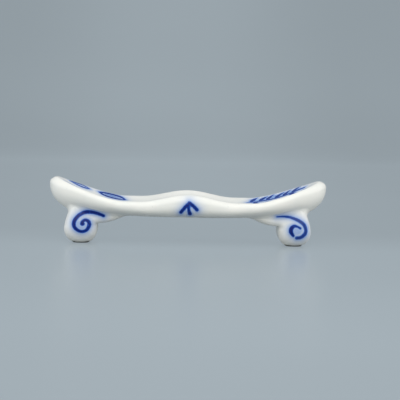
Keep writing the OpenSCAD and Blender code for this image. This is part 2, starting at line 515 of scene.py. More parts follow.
@dataclass
class Brushwork:
    """The painted decoration: strokes that are sampled onto the surfaces they lie on.

    Lengths of the drawing are in millimetres, and a load is how much paint the brush
    carries, from 0 to 1.
    """

    spacing: float = 0.05 * MM
    reach: float = 4 * MM
    flank_tilt: float = 0.3
    seam_tilt: float = 0.03
    coil_tail_load: float = 0.86
    stem_load: float = 0.85
    leaf_load: float = 0.88
    broad_leaf_load: float = 0.93
    vein_load: float = 0.7
    leaf_width: float = 1.7
    leaf_bend: float = 0.5
    flower_place: float = 27.6
    flower_radius: float = 3.4
    flower_petals: int = 6
    flower_turn: float = 0.26
    flower_wash_radius: float = 2.9
    flower_wash_load: float = 0.5
    leaf_wash_load: float = 0.95
    small_wash_load: float = 0.6
    dots: tuple[float, ...] = (21.6, 33.2, 36.6, 39.6)
    dot_radius: float = 0.36
    dot_length: float = 0.15
    pool_offset: float = 0.1
    pool_radius: float = 2.3
    pool_load: float = 0.78

    def left_coil(self) -> list[Stroke]:
        """Gives the left foot's coil, from the roll's axis: one stroke that ends on the tail."""
        return [Stroke(((0.8, 7.3, 0.86), (0.9, 7.9, 0.58), (1.75, 8.5, 0.54), (2.95, 7.9, 0.64),
                        (3.15, 6.6, 0.68), (2.25, 5.0, 0.58), (0.7, 4.4, 0.56), (-0.9, 4.9, 0.6),
                        (-2.05, 6.2, 0.66), (-2.0, 8.1, 0.68), (-0.55, 10.0, 0.65), (1.5, 11.15, 0.68),
                        (3.65, 11.35, 0.66), (6.0, 10.9, 0.6), (8.1, 10.05, 0.56)))]

    def right_coil(self) -> list[Stroke]:
        """Gives the right foot's coil in two strokes, the second thinning out along the tail."""
        return [Stroke(((1.8, 6.95, 0.4), (0.8, 7.5, 0.38), (-0.35, 7.7, 0.58), (-1.35, 6.85, 0.74),
                        (-1.45, 5.65, 0.74), (-0.6, 4.25, 0.5))),
                Stroke(((0.65, 3.45, 0.58), (2.1, 3.7, 0.6), (3.45, 4.95, 0.62), (3.75, 6.45, 0.6),
                        (3.0, 8.25, 0.6), (1.1, 9.65, 0.56), (-1.3, 10.6, 0.46), (-3.7, 11.0, 0.36),
                        (-6.5, 10.9, 0.22)), load=self.coil_tail_load)]

    def middle_mark(self) -> list[Stroke]:
        """Gives the three short strokes under the hump."""
        return [Stroke(((0.3, 15.5, 0.6), (-1.1, 14.1, 0.6), (-2.6, 12.2, 0.6))),
                Stroke(((0.3, 15.6, 0.6), (1.7, 14.5, 0.6), (2.95, 13.2, 0.62))),
                Stroke(((0.15, 14.6, 0.5), (0.1, 13.2, 0.52), (0.55, 11.7, 0.7)))]

    def twig(self) -> list[Stroke]:
        """Draws the garland along the far half of the right end of the dish.

        Returns:
            Its stem and leaves, seen from above.
        """
        stem = ((21.4, 6.0, 0.25), (24.5, 6.2, 0.5), (28.0, 5.7, 0.62), (32.0, 5.0, 0.62),
                (36.0, 4.5, 0.62), (39.0, 3.8, 0.52), (41.4, 2.5, 0.3))
        leaves = ((22.6, 6.2, 52, 4.6), (25.6, 6.2, 40, 4.4), (28.2, 5.7, 46, 4.4), (31.0, 5.2, 34, 4.6),
                  (34.0, 4.8, 40, 4.0), (37.0, 4.3, 26, 3.8), (23.8, 6.0, -48, 2.8), (36.4, 4.3, -40, 2.6))
        drawn = [Stroke(stem, Sheet.TOP, self.stem_load)]
        for across, up, degrees, length in leaves:
            bend = math.copysign(self.leaf_bend, degrees)
            one = leaf(length, self.leaf_width, bend, self.leaf_load)
            drawn.append(one.moved(across, up, math.radians(degrees)))
        return drawn

    def broad_leaves(self) -> list[Stroke]:
        """Draws the two leaves along the far half of the left end of the dish.

        Returns:
            Their edges and a vein, seen from above, in the places of the right end.
        """
        stalk, tip = (22.3, 6.2, 0.3), (31.8, 7.7, 0.36)
        edges = ((stalk, (24.2, 8.8, 0.72), (27.2, 9.4, 0.78), (30.0, 8.6, 0.8), tip),
                 (stalk, (25.0, 6.2, 0.74), (28.0, 6.2, 0.86), (30.2, 6.7, 0.8), tip),
                 ((35.2, 7.1, 0.2), (37.6, 7.4, 0.42), (40.0, 5.7, 0.42), (42.0, 3.6, 0.2)),
                 ((35.2, 7.1, 0.2), (37.0, 5.6, 0.42), (39.4, 4.4, 0.42), (42.0, 3.6, 0.2)))
        vein = Stroke(((24.0, 7.2, 0.14), (27.5, 7.9, 0.2), (30.2, 7.8, 0.12)), Sheet.TOP, self.vein_load)
        return [Stroke(edge, Sheet.TOP, self.broad_leaf_load) for edge in edges] + [vein]

    def spray(self, end: End) -> list[Stroke]:
        """Draws two garlands round a flower in one end of the dish.

        Args:
            end: which end.

        Returns:
            Its strokes, seen from above.
        """
        far = self.twig() if end is End.RIGHT else self.broad_leaves()
        parts = far + [s.flipped() for s in far]
        flower = blossom(self.flower_radius, self.flower_petals, self.flower_turn)
        parts += [s.moved(self.flower_place, 0) for s in flower]
        for across in self.dots:
            dot = tuple((x, 0.0, self.dot_radius) for x in (across, across + self.dot_length))
            parts.append(Stroke(dot, Sheet.TOP))
        return [s.moved(0, 0, 0, end.value) for s in parts]

    def leaf_washes(self) -> list[Stroke]:
        """Draws the pale washes in the flowers, in the broad leaves and along the twigs.

        Returns:
            Their strokes, seen from above: the flowers', the near half's and the far half's.
        """
        flowers = [Stroke(tuple((end.value * x, 0.0, self.flower_wash_radius) for x in (27.4, 27.8)),
                          Sheet.TOP, self.flower_wash_load) for end in End]
        far = [Stroke(points, Sheet.TOP, load) for load, points in (
            (self.leaf_wash_load, ((-24.4, 7.4, 0.8), (-27.5, 7.9, 1.3), (-30.4, 7.7, 0.5))),
            (self.small_wash_load, ((-36.6, 6.4, 0.6), (-39.6, 5.0, 0.6))),
            (self.leaf_wash_load, ((23.0, 7.2, 1.6), (30.0, 6.9, 2.1), (34.5, 6.1, 1.8), (39.5, 4.5, 1.2))))]
        return flowers + [s.flipped() for s in far] + far

    def pools(self, axis: float, end: End) -> list[Stroke]:
        """Draws the pale wash that lies inside a foot's coil.

        Args:
            axis: place of the roll's axis along the bar, in millimetres.
            end: the foot's end of the bar.

        Returns:
            Its strokes on the front and the back face.
        """
        pool = Stroke(((-0.5, 6.3, self.pool_radius), (0.7, 6.5, self.pool_radius)), load=self.pool_load)
        pool = pool.moved(axis + end.value * self.pool_offset, 0)
        return [pool, pool.on(Sheet.BACK)]

    def stroke_mesh(self, name: str, strokes: Iterable[Stroke]) -> bpy.types.Object:
        """Lays strokes out in drawing space as lines of points.

        Args:
            name: the object's name.
            strokes: the strokes.

        Returns:
            An object whose points hold the brush's half width and load.
        """
        places, edges, widths, loads = [], [], [], []
        for stroke in strokes:
            first = len(places)
            for across, up, half_width in stroke.points:
                places.append((across * MM, up * MM, stroke.sheet.value))
                widths.append(half_width * MM)
                loads.append(stroke.load)
            edges += [(i, i + 1) for i in range(first, len(places) - 1)]
        mesh = bpy.data.meshes.new(name)
        mesh.from_pydata(places, edges, [])
        mesh.attributes.new("half_width", "FLOAT", "POINT").data.foreach_set("value", widths)
        mesh.attributes.new("load", "FLOAT", "POINT").data.foreach_set("value", loads)
        return new_object(name, mesh)

    def tree(self, layer: Layer) -> Tree:
        """Makes the tree that measures how far each point of a surface is from the paint.

        Args:
            layer: the layer of paint.

        Returns:
            The tree. It stores the gap to the paint's edge in millimetres and its load.
        """
        t = Tree.geometry(f"{layer.value}_brushwork")
        surface = t.input("Geometry", "Geometry")
        strokes = t.input("Strokes", "Object")
        spacing = t.input("Point Spacing", "Float", self.spacing)
        reach = t.input("Reach", "Float", self.reach)
        tilt = t.input("Flank Tilt", "Float", self.flank_tilt)
        material = t.input("Material", "Material")

        drawn = t.add("GeometryNodeObjectInfo", {"Object": strokes}, transform_space="ORIGINAL")
        curve = t.add("GeometryNodeMeshToCurve", {"Mesh": t.out(drawn, "Geometry")})
        smooth = t.add("GeometryNodeCurveSplineType", {"Curve": t.out(curve)}, spline_type="CATMULL_ROM")
        even = t.add("GeometryNodeResampleCurve", {"Curve": t.out(smooth), "Length": spacing}, mode="LENGTH")
        points = t.out(t.add("GeometryNodeCurveToPoints", {"Curve": t.out(even)}, mode="EVALUATED"), "Points")

        x, y, z = t.separate(t.position())
        _, normal_y, normal_z = t.separate(t.out(t.add("GeometryNodeInputNormal")))
        outward = normal_y * t.math("SIGN", y)
        flank = t.less(tilt, outward)
        upper = t.less(0.0, normal_z)
        flank_sheet = t.choose(t.less(y, 0.0), Sheet.FRONT.value, Sheet.BACK.value)
        level = t.choose(flank, flank_sheet, t.choose(upper, Sheet.TOP.value, Sheet.NOWHERE.value))
        place = t.combine(x, t.choose(flank, z, y), level)

        nearest = t.out(t.add("GeometryNodeSampleNearest", {"Geometry": points, "Sample Position": place}))
        away = t.length(place - t.sample(points, t.position(), nearest, "FLOAT_VECTOR"))
        half_width, load = (t.sample(points, t.named(name, "FLOAT"), nearest, "FLOAT")
                            for name in ("half_width", "load"))
        gap = t.math("MINIMUM", away - half_width, reach) / MM
        for name, value in (("gap", gap), ("load", load)):
            surface = t.store(surface, f"{layer.value}_{name}", "FLOAT", value)
        t.finish_form(surface, material)
        return t

    def paint(self, piece: bpy.types.Object, lines: list[Stroke], washes: list[Stroke],
              material: bpy.types.Material, tilt: float | None = None) -> None:
        """Samples brushwork onto a piece.

        Args:
            piece: the piece.
            lines: the cobalt strokes.
            washes: the pale pools.
            material: the piece's material.
            tilt: how far a surface faces front or back where it takes the flanks' strokes.
        """
        for layer, strokes in ((Layer.LINE, lines), (Layer.WASH, washes)):
            drawn = self.stroke_mesh(f"{piece.name}_{layer.value}_strokes", strokes)
            run_tree(piece, self.tree(layer), {"Strokes": drawn, "Point Spacing": self.spacing,
                                               "Reach": self.reach, "Flank Tilt": tilt or self.flank_tilt,
                                               "Material": material})
            bpy.data.objects.remove(drawn)


@dataclass(frozen=True)
class GlazeSurface:
    """What a dipped and fired glaze does to a surface. Scales are in features per metre."""

    cloud_scale: float = 55.0
    ripple_scale: float = 210.0
    skin_scale: float = 1500.0
    speck_scale: float = 260.0
    pinhole_edge: Pair = (0.03, 0.07)
    cloud_height: float = 0.05 * MM
    ripple_height: float = 0.012 * MM
    skin_height: float = 0.0006 * MM
    pinhole_depth: float = 0.012 * MM
    skin_roughness: float = 0.03
    cloud_roughness: float = 0.05
    pinhole_roughness: float = 0.2

    def group(self) -> Tree:
        """Makes the shader group.

        Returns:
            The group: masks for tone and pinholes, a roughness and a height in metres.
        """
        t = Tree.shader_group("Glaze surface")
        smooth = t.input("Roughness", "Float")
        place = t.object_place()
        clouds = t.noise(place, self.cloud_scale, detail=3.0, rough=0.6)
        ripple = t.noise(place, self.ripple_scale, detail=1.0)
        skin = t.noise(place, self.skin_scale, detail=1.0)
        specks = t.add("ShaderNodeTexVoronoi", {"Vector": place, "Scale": self.speck_scale})
        pinhole = 1 - t.fade(t.out(specks, "Distance"), *self.pinhole_edge)
        waves = clouds * self.cloud_height + ripple * self.ripple_height + skin * self.skin_height
        uneven = smooth + (skin - 0.5) * self.skin_roughness + (clouds - 0.5) * self.cloud_roughness
        t.outputs(tone=("Float", clouds), pinhole=("Float", pinhole),
                  roughness=("Float", t.clamp(uneven + pinhole * self.pinhole_roughness)),
                  height=("Float", waves - pinhole * self.pinhole_depth))
        return t


@dataclass(frozen=True)
class Cobalt:
    """Cobalt brushed under the glaze. An edge is given in millimetres outside the stroke."""

    thick: Colour = srgb(0, 27, 110)
    thin: Colour = srgb(10, 72, 172)
    wash: Colour = srgb(74, 136, 214)
    feather_scale: float = 1700.0
    feather: float = 0.16
    pool_feathering: float = 2.5
    streak_scale: float = 900.0
    streaks: Pair = (0.22, 0.5)
    stroke_edge: Pair = (-0.08, 0.12)
    thick_edge: Pair = (-0.42, -0.05)
    pool_edge: Pair = (-0.9, 0.5)
    bleed: float = 0.85
    bleed_falloff: float = 0.95
    streaked_pool: float = 0.75
    wash_cover: float = 0.95
    thin_cover: float = 0.55

    def group(self) -> Tree:
        """Makes the shader group.

        Returns:
            The group: the glaze colour with the paint in it.
        """
        t = Tree.shader_group("Brushed cobalt")
        ground = t.input("Ground", "Color")
        place = t.object_place()
        line_gap, line_load, wash_gap, wash_load = (
            t.out(t.add("ShaderNodeAttribute", attribute_name=f"{layer.value}_{name}"), "Fac")
            for layer in Layer for name in ("gap", "load"))

        feather = (t.noise(place, self.feather_scale) - 0.5) * self.feather
        gap = line_gap + feather
        streak = t.noise(place, self.streak_scale, detail=3.0, rough=0.65)
        inside = 1 - t.fade(gap, *self.stroke_edge)
        deep = (1 - t.fade(gap, *self.thick_edge)) * t.fade(streak, *self.streaks)
        bleed = t.math("EXPONENT", t.math("MAXIMUM", gap, 0.0) * -self.bleed_falloff) * self.bleed
        pool = (1 - t.fade(wash_gap + feather * self.pool_feathering, *self.pool_edge)) * wash_load
        pale = t.clamp(t.math("MAXIMUM", bleed, pool * t.mix(self.streaked_pool, 1.0, streak)))
        paint = t.colour_mix(self.thin, self.thick, deep * line_load)
        washed = t.colour_mix(ground, self.wash, pale * self.wash_cover)
        result = t.colour_mix(washed, paint, inside * t.mix(self.thin_cover, 1.0, line_load))
        t.outputs(colour=("Color", result))
        return t


@dataclass(frozen=True)
class Glaze:
    """A fired feldspar glaze over a white body, with cobalt under it; on a bare foot, the bare ring is
    painted nearly black as a contact shadow.
    """

    name: str
    surface: Tree
    cobalt: Tree
    bright: Colour = srgb(246, 243, 236)
    shaded: Colour = srgb(239, 238, 232)
    tones: Pair = (0.3, 0.7)
    pinhole: Colour = srgb(206, 204, 196)
    pinhole_cover: float = 0.35
    roughness: float = 0.09
    gloss: float = 0.6
    coat_roughness: float = 0.13
    coat_index: float = 1.5
    translucence: float = 0.1
    light_reach: float = 0.6 * MM
    light_reach_shares: Triple = (1.0, 0.95, 0.9)
    bare_foot: bool = False
    biscuit: Colour = srgb(206, 199, 188)
    # Nearly black colour for the bare ring of the foot: painted contact shadow where the foot meets the
    # floor.
    kiln_line: Colour = srgb(86, 82, 79)
    biscuit_top: float = 0.55 * MM
    biscuit_edge_share: float = 0.8
    biscuit_roughness: float = 0.75
    ragged_scale: float = 900.0
    raggedness: float = 0.12 * MM
    # Heights at which the biscuit colour turns into the painted contact shadow, and how ragged that edge is.
    kiln_line_edge: Pair = (0.03 * MM, 0.11 * MM)
    kiln_line_raggedness: float = 0.4
    grit_scale: float = 3200.0
    grit_height: float = 0.02 * MM

    def material(self) -> bpy.types.Material:
        """Builds the material.

        Returns:
            The material, with its detail from the shared groups.
        """
        made, t = Tree.material(self.name)
        skin = t.add("ShaderNodeGroup", {}, node_tree=self.surface.tree)
        t.feed(skin.inputs["Roughness"], self.roughness)
        colour = t.colour_mix(self.shaded, self.bright, t.fade(t.out(skin, "Tone"), *self.tones))
        colour = t.colour_mix(colour, self.pinhole, t.out(skin, "Pinhole") * self.pinhole_cover)
        paint = t.add("ShaderNodeGroup", {}, node_tree=self.cobalt.tree)
        t.feed(paint.inputs["Ground"], colour)
        colour = t.out(paint, "Colour")
        rough, height, coat = t.out(skin, "Roughness"), t.out(skin, "Height"), self.gloss
        if self.bare_foot:
            place = t.object_place()
            ragged = t.noise(place, self.ragged_scale) * self.raggedness
            up = t.separate(place)[2]
            bare = 1 - t.fade(up + ragged, self.biscuit_top * self.biscuit_edge_share, self.biscuit_top)
            grit = t.noise(place, self.grit_scale)
            # Painted contact shadow: above its lowest tenth of a millimetre, the bare ring of the foot is
            # painted nearly black.
            painted_contact_shadow = t.fade(up + ragged * self.kiln_line_raggedness, *self.kiln_line_edge)
            colour = t.colour_mix(colour, t.colour_mix(self.biscuit, self.kiln_line, painted_contact_shadow), bare)
            rough = t.mix(rough, self.biscuit_roughness, bare)
            height = height + bare * grit * self.grit_height
            coat = (1 - bare) * self.gloss
        bump = t.add("ShaderNodeBump", {"Height": height, "Strength": 1.0, "Distance": 1.0})
        shader = t.add("ShaderNodeBsdfPrincipled", {
            "Base Color": colour, "Roughness": rough, "Specular IOR Level": 0.0, "Coat Weight": coat,
            "Coat Roughness": self.coat_roughness, "Coat IOR": self.coat_index, "Normal": t.out(bump),
            "Subsurface Weight": self.translucence, "Subsurface Radius": self.light_reach_shares,
            "Subsurface Scale": self.light_reach})
        t.add("ShaderNodeOutputMaterial", {"Surface": t.out(shader)})
        return made


@dataclass
class Bar:
    """The long dished bar: pinched and humped in the middle, with its ends turned up."""

    length: float = 97.6 * MM
    waist_width: float = 23.6 * MM
    end_width: float = 27.2 * MM
    spread_reach: float = 24 * MM
    saddle_height: float = 15.7 * MM
    hump_rise: float = 2.5 * MM
    hump_reach: float = 17 * MM
    rise_start: float = 22.5 * MM
    tip_rise: float = 8.7 * MM
    under_height: float = 9.6 * MM
    under_rise: float = 1.3 * MM
    rim_radius: float = 1.5 * MM
    hump_rim_radius: float = 2.7 * MM
    tip_rim_radius: float = 2.4 * MM
    nose_width: float = 4.6 * MM
    nose_reach: float = 12 * MM
    dish_depth: float = 1.6 * MM
    full_side_reach: float = 30 * MM
    points_around: int = 800
    dish_rings: int = 50
    rim_rings: int = 16
    side_rings: int = 42
    merge: float = 0.002 * MM
    piece: bpy.types.Object | None = field(default=None, init=False)

    OUTLINE_POWER = 2.4
    BELLY_POWER = 2.2
    MIDDLE_BELLY_POWER = 2.9
    NOSE_RIM_POWER = 0.84
    DISH_POWER = 3.0
    DISH_SOFTNESS = 1.5
    RISE_POWER = 1.47
    UNDER_POWER = 2.13
    TIP_CROWDING = 0.9

    def inputs(self, kind: type) -> dict[str, object]:
        """Gives the form tree's inputs, named after the fields: sizes as float, or counts as int."""
        values = {one.name.replace("_", " ").title(): getattr(self, one.name) for one in fields(self)}
        return {name: value for name, value in values.items() if type(value) is kind}

    def under(self, x: float) -> float:
        """Gives the height of the underside at a distance from the middle."""
        return self.under_height + self.under_rise * (abs(x) * 2 / self.length) ** self.UNDER_POWER

    def form_tree(self) -> Tree:
        """Makes the tree that bends a grid into the bar.

        Rings run from the middle of the dish over the rim and down to the middle of the
        underside, and each ring goes once round the bar.

        Returns:
            The tree.
        """
        t = Tree.geometry("bar_form")
        s = {name: t.input(name, "Float", value) for name, value in self.inputs(float).items()}
        n = {name: t.input(name, "Int", value) for name, value in self.inputs(int).items()}
        material = t.input("Material", "Material")
        rings = n["Dish Rings"] + n["Rim Rings"] + n["Side Rings"]
        grid, round_share, ring_share = t.flat_grid(n["Points Around"], rings)
        turn, ring = round_share * TURN, ring_share * rings
        share = t.clamp(ring / n["Dish Rings"])
        rim_angle = t.clamp((ring - n["Dish Rings"]) / n["Rim Rings"]) * QUARTER
        side_angle = t.clamp((ring - n["Dish Rings"] - n["Rim Rings"]) / n["Side Rings"]) * QUARTER

        half = s["Length"] / 2
        cos_turn, sin_turn = t.math("COSINE", turn), t.math("SINE", turn)
        line = t.math("ABSOLUTE", cos_turn) ** self.TIP_CROWDING * t.math("SIGN", cos_turn) * half
        reach = t.math("ABSOLUTE", line)
        width = t.mix(s["Waist Width"], s["End Width"], t.ease(reach / s["Spread Reach"])) / 2

        def past_rise(x: Wire) -> Wire:
            """Gives how far past the start of the rise a place is, from 0 to 1."""
            return t.clamp((t.math("ABSOLUTE", x) - s["Rise Start"]) / (half - s["Rise Start"]))

        def bell(x: Wire, bell_reach: Wire) -> Wire:
            """Gives a smooth hump that dies away at its reach."""
            return (t.math("COSINE", t.clamp(t.math("ABSOLUTE", x) / bell_reach) * math.pi) + 1) / 2

        def crest(x: Wire) -> Wire:
            """Gives the height of the rim's crest."""
            rise = past_rise(x) ** self.RISE_POWER * s["Tip Rise"]
            return s["Saddle Height"] + bell(x, s["Hump Reach"]) * s["Hump Rise"] + rise

        def belly(x: Wire) -> Wire:
            """Gives the height of the underside."""
            return s["Under Height"] + (t.math("ABSOLUTE", x) / half) ** self.UNDER_POWER * s["Under Rise"]

        nose = t.ease((reach - half + s["Nose Reach"]) / s["Nose Reach"])
        middle = bell(line, s["Full Side Reach"])
        middle_radius = t.mix(s["Rim Radius"], s["Hump Rim Radius"], middle)
        radius = t.mix(middle_radius, s["Tip Rim Radius"], nose)
        rim_width = t.mix(middle_radius, s["Nose Width"], nose)
        outline = t.math("MAXIMUM", 1 - (reach / half) ** self.OUTLINE_POWER, 0.0)
        round_off = outline ** (1 / self.OUTLINE_POWER)
        full = t.mix(1.0, self.NOSE_RIM_POWER, nose)
        rim_in = t.math("MAXIMUM", t.math("SINE", rim_angle), 0.0) ** full
        rim_down = t.math("MAXIMUM", t.math("COSINE", rim_angle), 0.0) ** full
        e = 2 / t.mix(self.BELLY_POWER, self.MIDDLE_BELLY_POWER, middle)
        cos_side = t.math("MAXIMUM", t.math("COSINE", side_angle), 0.0) ** e
        sin_side = t.math("SINE", side_angle) ** e
        in_dish = t.less(ring, n["Dish Rings"])
        in_rim = t.less(ring, n["Dish Rings"] + n["Rim Rings"])
        inset = t.choose(in_dish, t.mix(width, rim_width, share),
                         t.choose(in_rim, rim_width * (1 - rim_in), width * (1 - cos_side)))
        x = line * (half - inset) / half
        y = t.math("SIGN", sin_turn) * round_off * t.math("MAXIMUM", width - inset, 0.0)
        top = crest(line * (half - radius) / half)
        dish_z = crest(x) - (1 - share ** self.DISH_POWER) ** self.DISH_SOFTNESS * s["Dish Depth"]
        rim_crest = crest(line * (half - t.math("MAXIMUM", inset, radius)) / half)
        rim_z = rim_crest - radius * (1 - rim_down)
        side_z = top - radius - (top - radius - belly(x)) * sin_side
        z = t.choose(in_dish, dish_z, t.choose(in_rim, rim_z, side_z))
        t.bend_grid(grid, t.combine(x, y, z), s["Merge"], material)
        return t

    def build(self, glaze: bpy.types.Material) -> None:
        """Makes the bar, closed and facing outwards.

        Args:
            glaze: its material.
        """
        self.piece = new_object("porcelain_bar", bpy.data.meshes.new("porcelain_bar"))
        run_tree(self.piece, self.form_tree(), {**self.inputs(float), **self.inputs(int), "Material": glaze})
        tidy(self.piece, self.merge / 2)

    def skin(self) -> BVHTree:
        """Gives the bar's surface for finding places on it."""
        return BVHTree.FromObject(self.piece, bpy.context.evaluated_depsgraph_get())

    def dress(self, brush: Brushwork, glaze: bpy.types.Material) -> None:
        """Paints the bar.

        Args:
            brush: the brushwork.
            glaze: the bar's material.
        """
        mark = brush.middle_mark()
        sprays = brush.spray(End.RIGHT) + brush.spray(End.LEFT)
        lines = sprays + mark + [s.on(Sheet.BACK) for s in mark]
        brush.paint(self.piece, lines, brush.leaf_washes(), glaze)


@dataclass
class ScrollFoot:
    """A scroll foot: a roll with a neck, and a tail that runs in under the bar."""

    name: str
    end: End
    bar: Bar
    setback: float = 11.2 * MM
    roll_radius: float = 5.8 * MM
    roll_height: float = 5.2 * MM
    width: float = 15 * MM
    edge_depth: float = 3.2 * MM
    edge_draw: float = 2.3 * MM
    neck_x: float = 4.5 * MM
    notch_height: float = 7.2 * MM
    notch_radius: float = 0.6 * MM
    tail_length: float = 15.2 * MM
    dome: float = 0.5 * MM
    dome_height: float = 7.2 * MM
    dome_reach: float = 6.0 * MM
    bottom_share: float = 0.45
    bottom_height: float = 6.4 * MM
    slip: float = 0.4 * MM
    seat_reach: float = 3 * MM
    flat_softness: float = 0.3 * MM
    lip_height: float = 0.6 * MM
    lip_softness: float = 0.35 * MM
    sole_radii: Pair = (3.1 * MM, 3.7 * MM)
    piece: bpy.types.Object | None = field(default=None, init=False)
    uncut: BVHTree | None = field(default=None, init=False)

    DOME_FALL = 1.6
    BOTTOM_POWER = 2.3
    NECK_ANGLE = math.radians(15)
    NECK_POWER = 1.3
    TAIL_POWER = 1.8
    NECK_STEPS = 40
    ROLL_STEPS = 190
    NOTCH_STEPS = 12
    TAIL_STEPS = 80
    TOP_STEPS = 60
    EDGE_STEPS = 14
    FACE_STEPS = 26
    FACE_MIDDLE_SHARE = 0.985
    MIDDLE_STEPS = 22

    @property
    def axis(self) -> float:
        """Place of the roll's axis along the bar, on the right-hand foot."""
        return self.bar.length / 2 - self.setback

    def outline(self, inset: float) -> np.ndarray:
        """Gives the foot's outline from the front.

        Args:
            inset: how far it is drawn in.

        Returns:
            Points (outward from the roll's axis, up), the same number for every inset.
        """
        radius = self.roll_radius
        neck_top = self.bar.under(self.axis + self.neck_x)
        tail_top = self.bar.under(self.axis - self.tail_length)
        top = neck_top + self.seat_reach
        roll_top = self.roll_height + radius * math.sin(self.NECK_ANGLE)
        notch_z = self.notch_height - self.notch_radius
        notch_angle = math.asin((notch_z - self.roll_height) / (radius + self.notch_radius))
        notch_x = -(radius + self.notch_radius) * math.cos(notch_angle)

        neck_end = (top - roll_top) / (neck_top - roll_top)
        t = np.linspace(neck_end, 0, self.NECK_STEPS, endpoint=False)
        lean = self.NECK_ANGLE * np.clip(1 - t, 0, 1)
        root = radius * math.cos(self.NECK_ANGLE)
        neck = np.column_stack([root + (self.neck_x - root) * t ** self.NECK_POWER - inset * np.cos(lean),
                                roll_top + (neck_top - roll_top) * t - inset * np.sin(lean)])
        a = np.linspace(self.NECK_ANGLE, -math.pi - notch_angle, self.ROLL_STEPS)
        roll = np.column_stack([(radius - inset) * np.cos(a),
                                self.roll_height + (radius - inset) * np.sin(a)])
        a = np.linspace(-notch_angle, QUARTER, self.NOTCH_STEPS + 1)[1:]
        r = self.notch_radius + inset
        notch = np.column_stack([notch_x + r * np.cos(a), notch_z + r * np.sin(a)])
        tail_rise = tail_top - self.notch_height
        tail_end = ((top - self.notch_height) / tail_rise) ** (1 / self.TAIL_POWER)
        t = np.linspace(0, tail_end, self.TAIL_STEPS + 1)[1:]
        tail = np.column_stack([notch_x - (self.tail_length + notch_x) * t,
                                self.notch_height + tail_rise * t ** self.TAIL_POWER + inset])
        t = np.linspace(0, 1, self.TOP_STEPS + 2)[1:-1, None]
        lid = tail[-1] + (neck[0] - tail[-1]) * t
        return np.vstack([neck, roll, notch, tail, lid])

    def half_width(self, places: np.ndarray, lean: float | np.ndarray) -> np.ndarray:
        """Gives how far the foot reaches to its front and back.

        Args:
            places: places as the outline gives them.
            lean: 0 on the face and 1 where the outline is full, along the rounded edge.

        Returns:
            The distance from the middle plane at each place.
        """
        facing = np.sqrt(1 - np.square(lean))
        away = ((places - [0.0, self.dome_height]) ** 2).sum(axis=-1) / self.dome_reach ** 2
        fall = self.dome * self.DOME_FALL * (1 - np.exp(-away))
        low = np.clip(1 - places[..., 1] / self.bottom_height, 0, 1)
        drawn_in = 1 - self.bottom_share * low ** self.BOTTOM_POWER
        return (self.width / 2 - self.edge_depth * (1 - facing) - fall * facing) * drawn_in

    def rings(self) -> list[np.ndarray]:
        """Lays out the foot's rings.

        Returns:
            The rings, from the middle of the back face to the middle of the front one.
        """
        middle = np.array([-self.notch_radius, self.bar.under(self.axis) + self.seat_reach / 2])
        face = self.outline(self.edge_draw)
        rings = []
        for side in (1, -1):
            made = []
            for q in np.linspace(self.FACE_MIDDLE_SHARE, 0, self.FACE_STEPS, endpoint=False):
                made.append((face + (middle - face) * q, 0.0))
            for a in np.linspace(0, QUARTER, self.EDGE_STEPS):
                made.append((self.outline(self.edge_draw * (1 - math.sin(a))), min(1.0, math.sin(a))))
            made = [np.column_stack([p[:, 0], side * self.half_width(p, lean), p[:, 1]]) for p, lean in made]
            rings += made if side == 1 else made[::-1]
            if side == 1:
                full = self.outline(0)
                flat = self.half_width(full, 1.0)
                for share in np.linspace(1, -1, self.MIDDLE_STEPS + 2)[1:-1]:
                    rings.append(np.column_stack([full[:, 0], flat * share, full[:, 1]]))
        return rings

    def soled(self, places: np.ndarray) -> np.ndarray:
        """Gives the foot its flat round sole, with a soft lip that lifts off the floor.

        Args:
            places: the foot's points, from the roll's axis.

        Returns:
            The points, none of them below the floor.
        """
        out = np.hypot(*(places[:, :2] / self.sole_radii).T)
        past = np.clip((out - 1) * self.sole_radii[0] / self.lip_softness, 0, 1)
        low = places[:, 2] - self.lip_height * past * past * (3 - 2 * past)
        soft = self.flat_softness
        blend = np.clip(soft - np.abs(low), 0, None) / soft
        places[:, 2] += np.maximum(low, 0) - low + blend * blend * soft / 4
        return places

    def loft(self) -> bpy.types.Object:
        """Lofts the foot through its rings, before it is cut to the bar.

        Returns:
            The foot, with its top above the bar's underside.
        """
        rings = self.rings()
        count = len(rings[0])
        places = self.soled(np.vstack(rings))
        places[:, 0] = self.end.value * (self.axis + places[:, 0])
        work = bmesh.new()
        points = [work.verts.new(p) for p in places]
        for k in range(len(rings) - 1):
            for i in range(count):
                a, b = k * count + i, k * count + (i + 1) % count
                work.faces.new([points[a], points[b], points[b + count], points[a + count]])
        for first in (0, (len(rings) - 1) * count):
            ring = points[first:first + count]
            middle = work.verts.new(sum((p.co for p in ring), Vector()) / count)
            for i in range(count):
                work.faces.new([ring[i], ring[(i + 1) % count], middle])
        mesh = bpy.data.meshes.new(self.name)
        work.to_mesh(mesh)
        work.free()
        made = new_object(self.name, mesh)
        tidy(made, self.bar.merge / 4)
        return made

    def build(self, glaze: bpy.types.Material) -> None:
        """Makes the foot and cuts it to its seat under the bar.

        Args:
            glaze: its material.
        """
        self.piece = self.loft()
        self.uncut = BVHTree.FromObject(self.piece, bpy.context.evaluated_depsgraph_get())
        cutter = new_object("seat_cutter", self.bar.piece.data.copy())
        cutter.data.transform(Matrix.Translation((0, 0, -self.slip)))
        cut = self.piece.modifiers.new("seat", "BOOLEAN")
        cut.operation = "DIFFERENCE"
        cut.object = cutter
        cut.solver = "MANIFOLD"
        apply_modifiers(self.piece)
        bpy.data.objects.remove(cutter)
        self.keep_lowest()
        self.piece.data.materials.clear()
        self.piece.data.materials.append(glaze)
        tidy(self.piece, self.bar.merge / 4)

